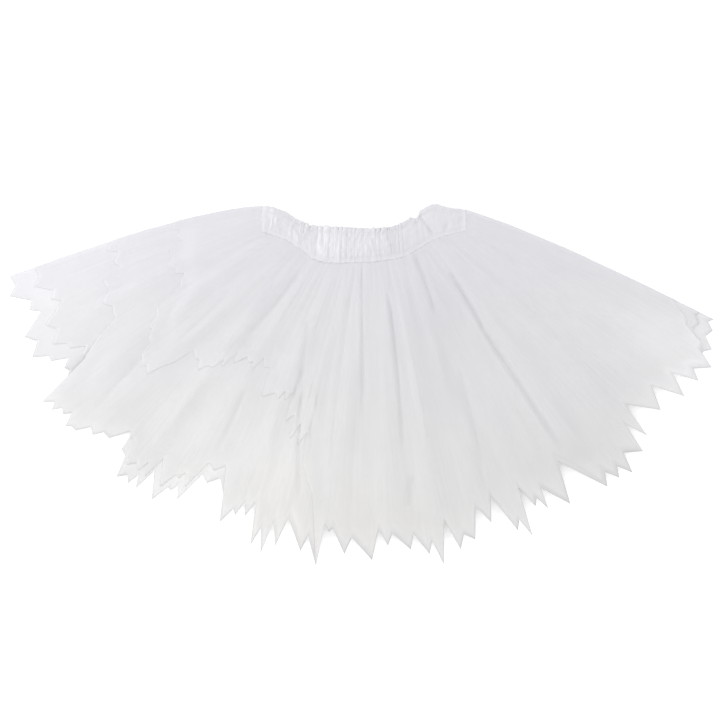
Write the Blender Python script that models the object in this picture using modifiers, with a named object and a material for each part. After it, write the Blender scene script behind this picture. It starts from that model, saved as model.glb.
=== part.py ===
"""Ballet tutu laid flat on a surface, as a fan of tulle below a gathered satin waistband.

Metres, +Z up, +Y towards the waist. The origin is at the bottom centre of the garment's box.
The waistband is one ring, pressed flat. Each of the two tulle layers is a front and a back panel,
gathered onto the band's lower edge. The four panels lie on each other, and their folds nest.
"""

import math
from collections import namedtuple

import bmesh
import bpy
from mathutils import Vector

MM = 0.001
GARMENT = "ballet_tutu"
TULLE_COLOUR = (0.82, 0.82, 0.85)
SATIN_COLOUR = (0.87, 0.87, 0.89)

# Walls and the gaps between pieces.
TULLE_WALL = 1.2 * MM
SEAM_GAP = 0.45 * MM
PANEL_STEP_AT_SIDE = 1.5 * MM  # one wall and the gap of a side seam

# The flattened ring of the waistband, from the surface up.
BAND_BACK_TOP = 5.4 * MM
BAND_FRONT_BOTTOM = 6.2 * MM
BAND_FOLD_HEIGHT = (BAND_BACK_TOP + BAND_FRONT_BOTTOM) / 2
BAND_FOLD_DEPTH = 5.0 * MM  # how far the round side fold reaches in
BAND_GATHERS = 34
COLUMNS_A_GATHER = 3
BAND_BACK_COLUMNS = 36
GATHER_RELIEF = 1.7 * MM
FRILL_RELIEF = 1.3 * MM

# Folds of the tulle.
TULLE_GATHER_COLUMNS = 4
TULLE_GATHER_RELIEF = 1.6 * MM
SIDE_SHARE = 0.07  # share of the width over which the panels close onto each other at a side
LEFT_BOW = 8.5  # millimetres by which a side edge curves out from a straight line
RIGHT_BOW = 5.0
BOWED_SHARE = 0.16  # share of the width that the curve of a side edge reaches into
SHORT_LAYER = 0.9  # below this share of the full length a hem's points fall between the others

# Places on the cloth are measured from the fan's centre, above the waist, where all folds point.
# across is to the right and down is towards the hem.
Spot = namedtuple("Spot", "across down")
BAND_TOP_EDGE = [
    Spot(-102.0, 46.0),
    Spot(-91.0, 47.5),
    Spot(-76.5, 53.5),
    Spot(-63.0, 63.0),
    Spot(-52.0, 65.8),
    Spot(-34.0, 66.0),
    Spot(-10.0, 66.8),
    Spot(16.0, 67.8),
    Spot(38.0, 63.2),
    Spot(52.0, 57.5),
    Spot(69.0, 44.6),
    Spot(80.0, 47.6),
    Spot(102.0, 49.5),
]
BAND_LEFT_SIDE = [Spot(-101.9, 54.0), Spot(-101.7, 63.0)]
BAND_LOWER_EDGE = [
    Spot(-101.0, 71.0),
    Spot(-88.0, 75.5),
    Spot(-74.0, 80.5),
    Spot(-59.0, 91.0),
    Spot(-45.0, 101.0),
    Spot(-28.0, 103.5),
    Spot(-2.0, 102.5),
    Spot(22.0, 100.5),
    Spot(42.0, 95.5),
    Spot(64.0, 82.0),
    Spot(81.0, 75.5),
    Spot(92.0, 72.5),
    Spot(100.5, 70.0),
]
BAND_RIGHT_SIDE = [Spot(101.3, 63.5), Spot(101.8, 56.5)]
ROUND_BAND = [BAND_TOP_EDGE[0], *BAND_LEFT_SIDE, *BAND_LOWER_EDGE, *BAND_RIGHT_SIDE, BAND_TOP_EDGE[-1]]

# Height of the band's outer face over its width, from the lower edge to the top edge.
BandRow = namedtuple("BandRow", "width_share height")
BAND_ROWS = [
    BandRow(0.00, 9.6 * MM),
    BandRow(0.20, 11.3 * MM),
    BandRow(0.52, 12.3 * MM),
    BandRow(0.82, 11.2 * MM),
    BandRow(1.00, 9.2 * MM),
]

# One row for each cut point of the hem and the notch to its right. Swing is in degrees from
# straight down, and reach is in millimetres from the fan's centre.
Tooth = namedtuple("Tooth", "tip_swing tip_reach notch_swing notch_reach")
LEFT_WING = [
    Tooth(-71.9, 374, -70.2, 372),
    Tooth(-69.0, 381, -67.1, 362),
    Tooth(-65.9, 368, -64.9, 358),
    Tooth(-62.5, 384, -61.0, 375),
    Tooth(-59.3, 387, -58.1, 372),
    Tooth(-57.3, 373, -56.2, 357),
    Tooth(-55.3, 366, -54.5, 363),
]
SECOND_STRETCH = [
    Tooth(-53.1, 404, -52.0, 393),
    Tooth(-51.3, 401, -50.6, 391),
    Tooth(-49.8, 395, -49.1, 387),
    Tooth(-48.3, 401, -47.6, 396),
    Tooth(-46.8, 396, -45.6, 382),
    Tooth(-44.6, 387, -43.7, 377),
    Tooth(-42.5, 378, -40.6, 358),
]
THIRD_STRETCH = [
    Tooth(-40.0, 378, -38.9, 381),
    Tooth(-38.0, 403, -36.9, 395),
    Tooth(-36.1, 401, -35.6, 387),
    Tooth(-34.8, 402, -34.0, 375),
    Tooth(-32.0, 402, -30.9, 382),
    Tooth(-30.3, 384, -29.7, 375),
    Tooth(-28.8, 389, -27.2, 354),
    Tooth(-25.9, 360, -24.3, 350),
]
LOWER_STRETCH = [
    Tooth(-21.7, 391, -20.5, 373),
    Tooth(-19.9, 378, -19.2, 363),
    Tooth(-18.4, 376, -17.5, 359),
    Tooth(-16.4, 403, -15.6, 382),
    Tooth(-14.7, 408, -14.0, 373),
    Tooth(-12.9, 397, -11.9, 366),
    Tooth(-9.2, 397, -8.4, 381),
    Tooth(-6.7, 410, -6.1, 366),
    Tooth(-5.4, 374, -4.8, 370),
    Tooth(-2.8, 395, -1.8, 378),
    Tooth(1.2, 401, 2.3, 370),
    Tooth(3.6, 387, 4.4, 375),
    Tooth(6.9, 393, 7.6, 378),
    Tooth(9.5, 400, 10.2, 387),
    Tooth(11.2, 413, 12.6, 369),
    Tooth(14.0, 402, 15.0, 388),
    Tooth(16.4, 396, 17.9, 364),
    Tooth(19.4, 385, 20.7, 359),
    Tooth(22.6, 402, 23.4, 392),
    Tooth(24.2, 413, 25.3, 362),
    Tooth(26.4, 387, 27.1, 380),
    Tooth(27.9, 395, 28.4, 373),
    Tooth(31.0, 402, 32.8, 359),
]
RIGHT_STRETCH = [
    Tooth(36.7, 408, 37.7, 395),
    Tooth(38.8, 408, 39.6, 398),
    Tooth(40.7, 413, 41.6, 392),
    Tooth(43.8, 404, 44.7, 372),
    Tooth(45.8, 396, 46.9, 358),
    Tooth(49.9, 389, 51.9, 366),
    Tooth(53.6, 399, 55.4, 376),
    Tooth(56.6, 402, 57.7, 391),
    Tooth(59.2, 406, 60.6, 391),
    Tooth(61.5, 398, 62.8, 386),
    Tooth(64.0, 390, 64.9, 382),
]
HEM = LEFT_WING + SECOND_STRETCH + THIRD_STRETCH + LOWER_STRETCH + RIGHT_STRETCH
HEM_CORNER_SWING = 65.6
HEM_CORNER_REACH = 386
NEAR_HEM = 340  # reach of the last row of points before the hem

# One row for each soft fold that runs out to the hem. sharp is the side with the steep flank:
# -1 left, 1 right and 0 neither.
Fold = namedtuple("Fold", "swing half_width height sharp")
FOLDS = [
    Fold(-66.0, 4.5, 4.0, 0),
    Fold(-59.5, 4.0, 6.0, 1),
    Fold(-52.0, 4.2, 7.5, -1),
    Fold(-45.0, 3.6, 6.0, 0),
    Fold(-37.5, 4.4, 8.5, -1),
    Fold(-30.0, 3.8, 6.5, 0),
    Fold(-20.5, 4.6, 9.0, -1),
    Fold(-13.0, 3.6, 7.0, 1),
    Fold(-5.0, 4.2, 8.0, 1),
    Fold(3.5, 3.8, 7.0, -1),
    Fold(11.0, 3.8, 9.5, -1),
    Fold(18.5, 4.0, 7.5, 0),
    Fold(26.5, 4.4, 6.5, 0),
    Fold(36.5, 5.2, 10.5, -1),
    Fold(45.0, 4.4, 7.0, 0),
    Fold(53.0, 4.2, 8.0, 1),
    Fold(60.0, 3.6, 4.5, 0),
]

# How much of the full length a panel's hem has, along the swing.
Length = namedtuple("Length", "swing share")
# Heights are those of the panel's underside, at the band and out on the skirt.
Panel = namedtuple("Panel", "name at_band on_skirt at_side fold_share lengths")
PANELS = [
    Panel(
        "outer_back_panel",
        0.0,
        0.0,
        0.0,
        0.0,
        [
            Length(-72, 1.0),
            Length(-54.4, 1.0),
            Length(-53.2, 0.93),
            Length(58, 0.94),
            Length(60.6, 1.0),
        ],
    ),
    Panel(
        "inner_back_panel",
        2.2 * MM,
        3.1 * MM,
        PANEL_STEP_AT_SIDE,
        0.34,
        [
            Length(-72, 0.93),
            Length(-54.4, 0.94),
            Length(-53.0, 0.97),
            Length(-40.6, 0.97),
            Length(-40.0, 1.0),
            Length(-24.3, 1.0),
            Length(-21.7, 0.96),
            Length(66, 0.95),
        ],
    ),
    Panel(
        "inner_front_panel",
        6.6 * MM,
        6.2 * MM,
        2 * PANEL_STEP_AT_SIDE,
        0.67,
        [
            Length(-72, 0.71),
            Length(-58.1, 0.79),
            Length(-54.5, 0.95),
            Length(-53.1, 1.0),
            Length(-40.6, 1.0),
            Length(-40.0, 0.96),
            Length(-24.3, 0.96),
            Length(-21.7, 1.0),
            Length(-6.1, 1.0),
            Length(-4.8, 0.97),
            Length(66, 0.96),
        ],
    ),
    Panel(
        "outer_front_panel",
        8.4 * MM,
        9.3 * MM,
        3 * PANEL_STEP_AT_SIDE,
        1.0,
        [
            Length(-72, 0.53),
            Length(-56, 0.60),
            Length(-46, 0.80),
            Length(-43, 0.72),
            Length(-33, 0.59),
            Length(-25, 0.66),
            Length(-17, 0.68),
            Length(-11, 0.80),
            Length(-7, 1.0),
            Length(60, 1.0),
            Length(66, 0.88),
        ],
    ),
]

# Rows of points of a panel, as a share of the way from the band to the last row before the hem.
PANEL_ROWS = [0.0, 0.24, 0.58, 1.0]


def blend(first, last, share):
    return first + (last - first) * share


def ease(share):
    """0 to 1 with level ends."""
    share = min(max(share, 0.0), 1.0)
    return share * share * (3 - 2 * share)


def along(spots, share):
    """The place at this share of a smooth curve through the spots, each span counting the same."""
    place = share * (len(spots) - 1)
    span = min(int(place), len(spots) - 2)
    t = place - span
    before, start, end, after = (
        Vector(spots[min(max(span + step, 0), len(spots) - 1)]) for step in (-1, 0, 1, 2)
    )
    return 0.5 * (
        2 * start
        + (end - before) * t
        + (2 * before - 5 * start + 4 * end - after) * t**2
        + (3 * start - before - 3 * end + after) * t**3
    )


def even_spots(spots, count):
    """Spots at equal distances along the smooth curve through the given ones, ends included."""
    steps = 40 * (len(spots) - 1)
    fine = [along(spots, step / steps) for step in range(steps + 1)]
    run = [0.0]
    for here, there in zip(fine, fine[1:]):
        run.append(run[-1] + (there - here).length)
    found = []
    step = 0
    for number in range(count):
        wanted = run[-1] * number / (count - 1)
        while step < steps - 1 and run[step + 1] < wanted:
            step += 1
        t = (wanted - run[step]) / (run[step + 1] - run[step])
        found.append(fine[step].lerp(fine[step + 1], t))
    return found


def length_share(lengths, swing):
    if swing <= lengths[0].swing:
        return lengths[0].share
    for left, right in zip(lengths, lengths[1:]):
        if swing <= right.swing:
            return blend(left.share, right.share, (swing - left.swing) / (right.swing - left.swing))
    return lengths[-1].share


def hem_columns():
    """(swing, reach in millimetres) of each tip and notch, left to right."""
    columns = []
    for tooth in HEM:
        columns.append((tooth.tip_swing, tooth.tip_reach))
        columns.append((tooth.notch_swing, tooth.notch_reach))
    columns.append((HEM_CORNER_SWING, HEM_CORNER_REACH))
    return columns


def at_swing(swing, reach):
    """A spot, in millimetres, from its bearing and distance."""
    angle = math.radians(swing)
    return Vector((reach * math.sin(angle), reach * math.cos(angle)))


def sewing_line(count):
    """Where the panels start: round the sides of the band and along its lower edge."""
    spots = even_spots(ROUND_BAND, count)
    moved = []
    for number, spot in enumerate(spots):
        run = spots[min(number + 1, count - 1)] - spots[max(number - 1, 0)]
        moved.append(spot + Vector((-run.y, run.x)).normalized() * SEAM_GAP / MM)
    return moved


def on_fold_line(width_share, start, end, reach):
    """The spot at this reach on the line from the band to the hem, which bows out near a side."""
    share = (reach - start.length) / (end.length - start.length)
    bow = LEFT_BOW * max(0.0, 1 - width_share / BOWED_SHARE)
    bow -= RIGHT_BOW * max(0.0, 1 - (1 - width_share) / BOWED_SHARE)
    run = end - start
    across_run = Vector((-run.y, run.x)).normalized()
    arch = math.sin(math.pi * min(max(share, 0.0), 1.0) ** 0.75)
    return start.lerp(end, share) + across_run * bow * arch


def fold_height(swing, out):
    """Height that the soft folds add at this swing, out of 1 on the way from band to hem."""
    height = 0.0
    for fold in FOLDS:
        offset = (swing - fold.swing) / fold.half_width
        if offset * fold.sharp > 0:
            offset *= 2.0
        if abs(offset) < 1:
            height += fold.height * MM * 0.5 * (1 + math.cos(math.pi * offset))
    return height * out**0.75


def gather_height(column, out):
    """Height of the small gathers, which start at the seam and run out on the skirt."""
    phase = math.pi * (column + 0.8 * math.sin(0.37 * column)) / TULLE_GATHER_COLUMNS
    fade = ease((0.6 - out) / 0.36) * blend(0.3, 1.0, ease(out / 0.2))
    return TULLE_GATHER_RELIEF * fade * math.sin(phase) ** 2 * (0.75 + 0.25 * math.sin(1.9 * column))


def panel_height(panel, column, last_column, swing, out):
    """Height of the panel's underside at a point of it."""
    side = min(column, last_column - column) / last_column
    opened = ease(side / SIDE_SHARE)
    level = blend(panel.at_band, panel.on_skirt, ease(out / 0.25))
    raised = fold_height(swing, out) + gather_height(column, out)
    return blend(panel.at_side, level, opened) + panel.fold_share * opened * raised


def principled(name, colour, roughness, sheen):
    material = bpy.data.materials.new(name)
    material.use_nodes = True
    shader = material.node_tree.nodes["Principled BSDF"]
    shader.inputs["Base Color"].default_value = (*colour, 1.0)
    shader.inputs["Roughness"].default_value = roughness
    shader.inputs["Metallic"].default_value = 0.0
    shader.inputs["Sheen Weight"].default_value = sheen
    return material


def add_piece(name, mesh, material, parent):
    mesh.materials.append(material)
    piece = bpy.data.objects.new(name, mesh)
    piece.parent = parent
    bpy.data.collections[GARMENT].objects.link(piece)
    return piece


def make_panel(panel, material, parent):
    """A tulle panel: a grid with a column at each tip and notch of its hem, given its wall."""
    columns = hem_columns()
    last = len(columns) - 1
    starts = sewing_line(len(columns))
    shape = bmesh.new()
    rows = len(PANEL_ROWS)
    bmesh.ops.create_grid(shape, x_segments=last, y_segments=rows, size=1)
    shape.verts.ensure_lookup_table()
    for number, point in enumerate(shape.verts):
        row, column = divmod(number, last + 1)
        swing, full_reach = columns[column]
        share = length_share(panel.lengths, swing)
        start = starts[column]
        own_reach = full_reach
        if share < SHORT_LAYER:
            own_reach = columns[min(column + 1, last)][1]
        if row < rows:
            reach = blend(start.length, NEAR_HEM * share, PANEL_ROWS[row])
        else:
            reach = own_reach * share
        spot = on_fold_line(column / last, start, at_swing(swing, full_reach), reach)
        out = min((reach - start.length) / (NEAR_HEM - start.length), 1.0)
        point.co = (spot.x * MM, -spot.y * MM, panel_height(panel, column, last, swing, out))
    shape.normal_update()
    bmesh.ops.reverse_faces(shape, faces=[face for face in shape.faces if face.normal.z < 0])
    mesh = bpy.data.meshes.new(panel.name)
    shape.to_mesh(mesh)
    shape.free()
    piece = add_piece(panel.name, mesh, material, parent)
    wall = piece.modifiers.new("wall", "SOLIDIFY")
    wall.thickness = TULLE_WALL
    wall.offset = 1.0
    return piece


def on_lower_edge(width_share):
    """A spot on the band's lower edge, which is a stretch of the curve that goes round it."""
    first = ROUND_BAND.index(BAND_LOWER_EDGE[0])
    place = first + width_share * (len(BAND_LOWER_EDGE) - 1)
    return along(ROUND_BAND, place / (len(ROUND_BAND) - 1))


def gather_shape(column):
    """0 to 1 over the columns of the band's front, uneven from one gather to the next."""
    number, step = divmod(column, COLUMNS_A_GATHER)
    crest = 0.72 + 0.28 * math.sin(2.3 * number + 0.9 * math.sin(1.7 * number))
    return (0.0, 1.0, 0.62)[step] * crest


def band_stations():
    """Stations round the ring: (share of the width, turn in degrees, front column or None).

    The turn is 0 on the front, 180 on the back, and in between at the two side folds.
    """
    front = BAND_GATHERS * COLUMNS_A_GATHER
    edge = 0.035
    stations = [(blend(edge, 1 - edge, n / (front - 1)), 0, n) for n in range(front)]
    stations += [(1.0, turn, None) for turn in (45, 90, 135)]
    stations += [
        (blend(1 - edge, edge, n / (BAND_BACK_COLUMNS - 1)), 180, None) for n in range(BAND_BACK_COLUMNS)
    ]
    stations += [(0.0, turn, None) for turn in (135, 90, 45)]
    return stations


def band_point(station, row, inner):
    """A point of the ring's outer or inner face, row counting up from the lower edge."""
    width_share, turn, column = station
    angle = math.radians(turn)
    facing = math.cos(angle)
    depth_share = BAND_FOLD_DEPTH / (2 * BAND_TOP_EDGE[-1].across * MM)
    side = 1 if width_share > 0.5 else -1
    place = width_share
    if 0 < turn < 180:
        place -= side * depth_share * (1.4 if inner else 1 - math.sin(angle))
    low = on_lower_edge(place)
    top = along(BAND_TOP_EDGE, place)
    up_share, height = BAND_ROWS[row]
    if inner:
        height = BAND_FRONT_BOTTOM if facing > 0 else BAND_BACK_TOP
        height = BAND_FOLD_HEIGHT if turn == 90 else height
    elif facing > 0:
        height = blend(BAND_FOLD_HEIGHT, height, facing)
    else:
        height = BAND_FOLD_HEIGHT * (1 + facing)
    if column is not None and not inner and row > 0:
        relief = gather_shape(column)
        height += GATHER_RELIEF * relief * (0.6 if row == len(BAND_ROWS) - 1 else 1.0)
    spot = low.lerp(top, up_share)
    if column is not None and row == len(BAND_ROWS) - 1:
        spot += (low - top).normalized() * FRILL_RELIEF / MM * (1 - gather_shape(column))
    return (spot.x * MM, -spot.y * MM, height)


def make_waistband(material, parent):
    """The satin band: a torus whose sections are moved onto the flattened, gathered ring."""
    stations = band_stations()
    outer_rows = list(range(len(BAND_ROWS)))
    section = [(row, False) for row in outer_rows] + [(outer_rows[-1], True), (0, True)]
    bpy.ops.mesh.primitive_torus_add(major_segments=len(stations), minor_segments=len(section))
    torus = bpy.context.object
    mesh = torus.data
    for number, point in enumerate(mesh.vertices):
        station, place = divmod(number, len(section))
        row, inner = section[place]
        point.co = band_point(stations[station], row, inner)
    bpy.data.objects.remove(torus)
    mesh.name = "waistband"
    shape = bmesh.new()
    shape.from_mesh(mesh)
    bmesh.ops.recalc_face_normals(shape, faces=shape.faces)
    shape.to_mesh(mesh)
    shape.free()
    return add_piece("waistband", mesh, material, parent)


def centre_on_origin(pieces):
    """Moves the meshes so that the origin is at the bottom centre of the box of them all."""
    bpy.context.view_layer.update()
    graph = bpy.context.evaluated_depsgraph_get()
    corners = [Vector(corner) for piece in pieces for corner in piece.evaluated_get(graph).bound_box]
    low = Vector(min(corner[axis] for corner in corners) for axis in range(3))
    high = Vector(max(corner[axis] for corner in corners) for axis in range(3))
    middle = (low + high) / 2
    for piece in pieces:
        for point in piece.data.vertices:
            point.co -= Vector((middle.x, middle.y, low.z))


def main():
    for old in list(bpy.data.objects):
        bpy.data.objects.remove(old)
    collection = bpy.data.collections.new(GARMENT)
    bpy.context.scene.collection.children.link(collection)
    frame = bpy.data.objects.new(GARMENT + "_frame", None)
    collection.objects.link(frame)
    pieces = []
    for panel in PANELS:
        tulle = principled(panel.name + "_tulle", TULLE_COLOUR, 0.8, 0.3)
        pieces.append(make_panel(panel, tulle, frame))
    satin = principled("waistband_satin", SATIN_COLOUR, 0.35, 0.1)
    pieces.append(make_waistband(satin, frame))
    centre_on_origin(pieces)


main()
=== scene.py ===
"""Dresses a packed ballet tutu, laid flat, in gathered satin and layered tulle.

Laid out as an add-on, and run as a script: each operator makes one piece or one group of pieces
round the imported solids, which are loaded first as a fixed frame in metres.
"""

import math
import random

import bmesh
import bpy
import numpy as np
from mathutils import Matrix, Vector, noise
from mathutils.bvhtree import BVHTree


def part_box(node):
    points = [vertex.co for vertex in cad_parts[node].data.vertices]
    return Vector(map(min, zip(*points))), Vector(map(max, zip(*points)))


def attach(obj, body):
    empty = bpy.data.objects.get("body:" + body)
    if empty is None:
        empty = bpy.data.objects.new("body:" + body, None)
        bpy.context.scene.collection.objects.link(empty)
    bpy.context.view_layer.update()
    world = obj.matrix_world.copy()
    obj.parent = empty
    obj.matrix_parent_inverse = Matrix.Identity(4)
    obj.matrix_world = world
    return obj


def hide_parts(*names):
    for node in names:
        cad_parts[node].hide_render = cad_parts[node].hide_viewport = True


bl_info = {
    "name": "Ballet Tutu Dresser",
    "version": (1, 0, 0),
    "blender": (4, 5, 0),
    "location": "3D View > Sidebar > Tutu",
    "description": "Makes the tulle, the gathered satin waistband and the stage of a laid-out tutu",
    "category": "Object",
}

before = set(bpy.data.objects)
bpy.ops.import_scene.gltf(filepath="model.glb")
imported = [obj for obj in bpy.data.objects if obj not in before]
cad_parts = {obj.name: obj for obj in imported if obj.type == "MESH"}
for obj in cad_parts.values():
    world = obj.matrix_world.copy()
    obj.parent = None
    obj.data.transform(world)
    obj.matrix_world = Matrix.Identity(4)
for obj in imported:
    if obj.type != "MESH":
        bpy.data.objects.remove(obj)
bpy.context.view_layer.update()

MM = 0.001

# The cloth's own coordinates, in metres along its width and from the waist to the hem.
CLOTH_UV = "cloth"
# On the net: how much more closely it lies at a place, with shade painted into its colour there
# (painted light, where negative). On the satin: painted shade and light only.
CLOSENESS_AND_PAINTED_SHADE = "closeness_and_painted_shade"
# 1 where the cut edge of a net lies on another net.
CUT = "cut"

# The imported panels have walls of 1.2 mm.
WALL_OF_SOLID = (1.0 * MM, 1.4 * MM)
WELD = 0.002 * MM  # points that are closer than this are one
FAR = 1.0  # metres: a height above everything, and a depth below it
OVERHEAD = 0.1  # metres: a height just above everything
MIDDLE_HEIGHT = 5 * MM  # about halfway up the garment as it lies
SHARP_TURN = math.radians(30)  # a corner of a panel turns by more
RIGHT_CORNER_DROP = 4 * MM  # from the band's top to where the panels leave its right end

# Where all folds of the fan point to, above the waist.
FAN_CENTRE = Vector((2.1 * MM, 225.8 * MM))

# One row for each tulle panel, from the one at the bottom up: how strongly the small relief
# shows on it, so that the panels nest, the seed of its own gathers and crumple, and the area of
# its cloth in square metres.
PANELS = [
    # node, relief, seed, area
    ("outer_back_panel", 0.45, 11, 0.19),
    ("inner_back_panel", 0.5, 23, 0.19),
    ("inner_front_panel", 0.75, 37, 0.19),
    ("outer_front_panel", 1.0, 53, 0.15),
]


def linear(hex_colour):
    """A colour given as sRGB hex, as linear red, green and blue."""
    parts = [int(hex_colour[i : i + 2], 16) / 255 for i in (1, 3, 5)]
    return tuple(c / 12.92 if c <= 0.04045 else ((c + 0.055) / 1.055) ** 2.4 for c in parts)


def ease(share):
    """0 to 1 with level ends, for a number or an array."""
    share = np.clip(share, 0.0, 1.0)
    return share * share * (3 - 2 * share)


# ---------------------------------------------------------------------------------------------
# Settings


def colour_setting(name, description, default):
    """A colour setting, with its default as sRGB hex."""
    return bpy.props.FloatVectorProperty(
        name=name, description=description, default=linear(default), subtype="COLOR", size=3
    )


def length_setting(name, description, default):
    """A length setting in metres."""
    return bpy.props.FloatProperty(
        name=name, description=description, default=default, unit="LENGTH"
    )


def power_setting(name, description, default):
    """A power setting in watts."""
    return bpy.props.FloatProperty(
        name=name, description=description, default=default, unit="POWER"
    )


class TulleSettings(bpy.types.PropertyGroup):
    thread_colour: colour_setting("Thread colour", "Colour of the nylon threads", "#FEFEFF")
    net_pitch: length_setting("Net pitch", "Distance between the holes of the net", 0.85 * MM)
    thickness: length_setting("Thickness", "Thickness of the net", 0.2 * MM)
    gather_count: bpy.props.IntProperty(
        name="Gathers", description="Small gathers along the sewing line of a panel", default=46
    )
    gather_relief: length_setting("Gather relief", "Height of the small gathers", 0.42 * MM)
    crumple: length_setting("Crumple", "Height of the soft unevenness of the net", 0.5 * MM)


class SatinSettings(bpy.types.PropertyGroup):
    colour: colour_setting("Satin colour", "Colour of the waistband's satin", "#E5E4E8")
    thickness: length_setting("Thickness", "Thickness of the satin", 0.35 * MM)
    gather_count: bpy.props.IntProperty(
        name="Gathers", description="Gathers across the front of the waistband", default=38
    )
    gather_relief: length_setting("Gather relief", "Height of the satin's gathers", 2.2 * MM)
    stitch_length: length_setting("Stitch length", "Distance from one stitch to the next", 2.8 * MM)


class StageSettings(bpy.types.PropertyGroup):
    floor_colour: colour_setting("Floor colour", "Colour of the matt board below", "#FAFAFA")
    camera_height: length_setting("Camera height", "Height above the garment", 2.5)
    view_width: length_setting("View width", "Width of the square that the camera sees", 0.72)
    fill_energy: power_setting("Fill light", "Power of the weaker light, on the right", 0.42)
    key_energy: power_setting("Key light", "Power of the stronger light, on the left", 1.96)
    sky_strength: bpy.props.FloatProperty(
        name="Surround", description="Strength of the even white light all round", default=0.98
    )


# ---------------------------------------------------------------------------------------------
# Helpers for meshes and materials


def set_inputs(tree, node, inputs):
    """Sets inputs of a shader node, each to a value or to the output that is linked to it."""
    for name, value in inputs.items():
        socket = node.inputs[name]
        if isinstance(value, bpy.types.NodeSocket):
            tree.links.new(value, socket)
        else:
            socket.default_value = value


def add_node(tree, kind, inputs=None, **settings):
    """A shader node with its settings and its inputs."""
    node = tree.nodes.new(kind)
    for name, value in settings.items():
        setattr(node, name, value)
    set_inputs(tree, node, inputs or {})
    return node


def calculated(tree, operation, *values, **settings):
    """The output of a Math node for these values."""
    inputs = dict(enumerate(values))
    return add_node(tree, "ShaderNodeMath", inputs, operation=operation, **settings).outputs[0]


def mapped(tree, value, source, target=(0, 1), **settings):
    """A value moved from the range source to the range target, and kept inside it."""
    inputs = dict(zip(("From Min", "From Max", "To Min", "To Max"), (*source, *target)))
    inputs["Value"] = value
    return add_node(tree, "ShaderNodeMapRange", inputs, **settings).outputs[0]


def mixed(tree, factor, first, last, **settings):
    """The colour between two others."""
    inputs = {"Factor": factor, "A": first, "B": last}
    return add_node(tree, "ShaderNodeMix", inputs, data_type="RGBA", **settings).outputs["Result"]


def long_noise(tree, cloth, size, detail, roughness=0.5):
    """Noise drawn out along the cloth; size is its width and its length."""
    scale = (1 / size[0], 1 / size[1], 1)
    stretched = add_node(tree, "ShaderNodeMapping", {"Vector": cloth, "Scale": scale}).outputs[0]
    inputs = {"Vector": stretched, "Scale": 1.0, "Detail": detail, "Roughness": roughness}
    return add_node(tree, "ShaderNodeTexNoise", inputs).outputs["Fac"]


def bumped(tree, height, strength, distance):
    """A normal that leans with this height."""
    inputs = {"Height": height, "Strength": strength, "Distance": distance}
    return add_node(tree, "ShaderNodeBump", inputs).outputs[0]


def new_material(name):
    """An empty node material and its Principled shader."""
    material = bpy.data.materials.new(name)
    material.use_nodes = True
    shader = material.node_tree.nodes["Principled BSDF"]
    return material, material.node_tree, shader


def link_object(name, mesh, material):
    obj = bpy.data.objects.new(name, mesh)
    bpy.context.scene.collection.objects.link(obj)
    mesh.materials.append(material)
    return obj


def add_wall(obj, thickness):
    wall = obj.modifiers.new("wall", "SOLIDIFY")
    wall.thickness = thickness
    wall.offset = 0.0


def finished_mesh(name, shape):
    """The mesh that a bmesh holds, with smooth faces; the bmesh is freed."""
    for face in shape.faces:
        face.smooth = True
    mesh = bpy.data.meshes.new(name)
    shape.to_mesh(mesh)
    shape.free()
    return mesh


def grid_mesh(name, points, cloth, attributes, closed=False):
    """A smooth grid mesh through points[row, column], with its cloth coordinates in metres.

    attributes holds the name and the values of each attribute, and closed joins the last column
    to the first.
    """
    rows, columns = points.shape[:2]
    shape = bmesh.new()
    bmesh.ops.create_grid(shape, x_segments=columns - 1, y_segments=rows - 1, size=1)
    uv = shape.loops.layers.uv.new(CLOTH_UV)
    shape.verts.ensure_lookup_table()
    flat_cloth = cloth.reshape(-1, 2)
    for vertex, place in zip(shape.verts, points.reshape(-1, 3)):
        vertex.co = place
    for attribute, values in attributes.items():
        layer = shape.verts.layers.float.new(attribute)
        for vertex, value in zip(shape.verts, values.reshape(-1)):
            vertex[layer] = float(value)
    shape.verts.index_update()
    for face in shape.faces:
        for loop in face.loops:
            loop[uv].uv = flat_cloth[loop.vert.index]
    if closed:
        ends = [v for v in shape.verts if v.index % columns in (0, columns - 1)]
        bmesh.ops.remove_doubles(shape, verts=ends, dist=WELD)
    shape.normal_update()
    return finished_mesh(name, shape)


def smoothed(field, sigma_rows, sigma_columns):
    """An array of rows and columns blurred a little, with its edges kept."""
    for axis, sigma in ((0, sigma_rows), (1, sigma_columns)):
        if sigma <= 0:
            continue
        reach = max(1, int(3 * sigma))
        weights = np.exp(-0.5 * (np.arange(-reach, reach + 1) / sigma) ** 2)
        weights /= weights.sum()
        pad = [(0, 0), (0, 0)]
        pad[axis] = (reach, reach)
        wide = np.pad(field, pad, mode="edge")
        size = field.shape[axis]
        field = sum(w * np.take(wide, np.arange(i, i + size), axis) for i, w in enumerate(weights))
    return field


def surface_tree(node):
    mesh = node.data
    corners = [vertex.co for vertex in mesh.vertices]
    return BVHTree.FromPolygons(corners, [tuple(face.vertices) for face in mesh.polygons])


def place_below(tree, x, y, start):
    """The first place of a surface straight below this one, or None."""
    return tree.ray_cast(Vector((x, y, start)), Vector((0, 0, -1)))[0]


def heights_at(tree, x, y):
    """(underside, top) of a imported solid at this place, or None where the line misses it."""
    top = place_below(tree, x, y, FAR)
    underside = tree.ray_cast(Vector((x, y, -FAR)), Vector((0, 0, 1)))[0]
    if top is None or underside is None:
        return None
    return underside.z, top.z


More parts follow.
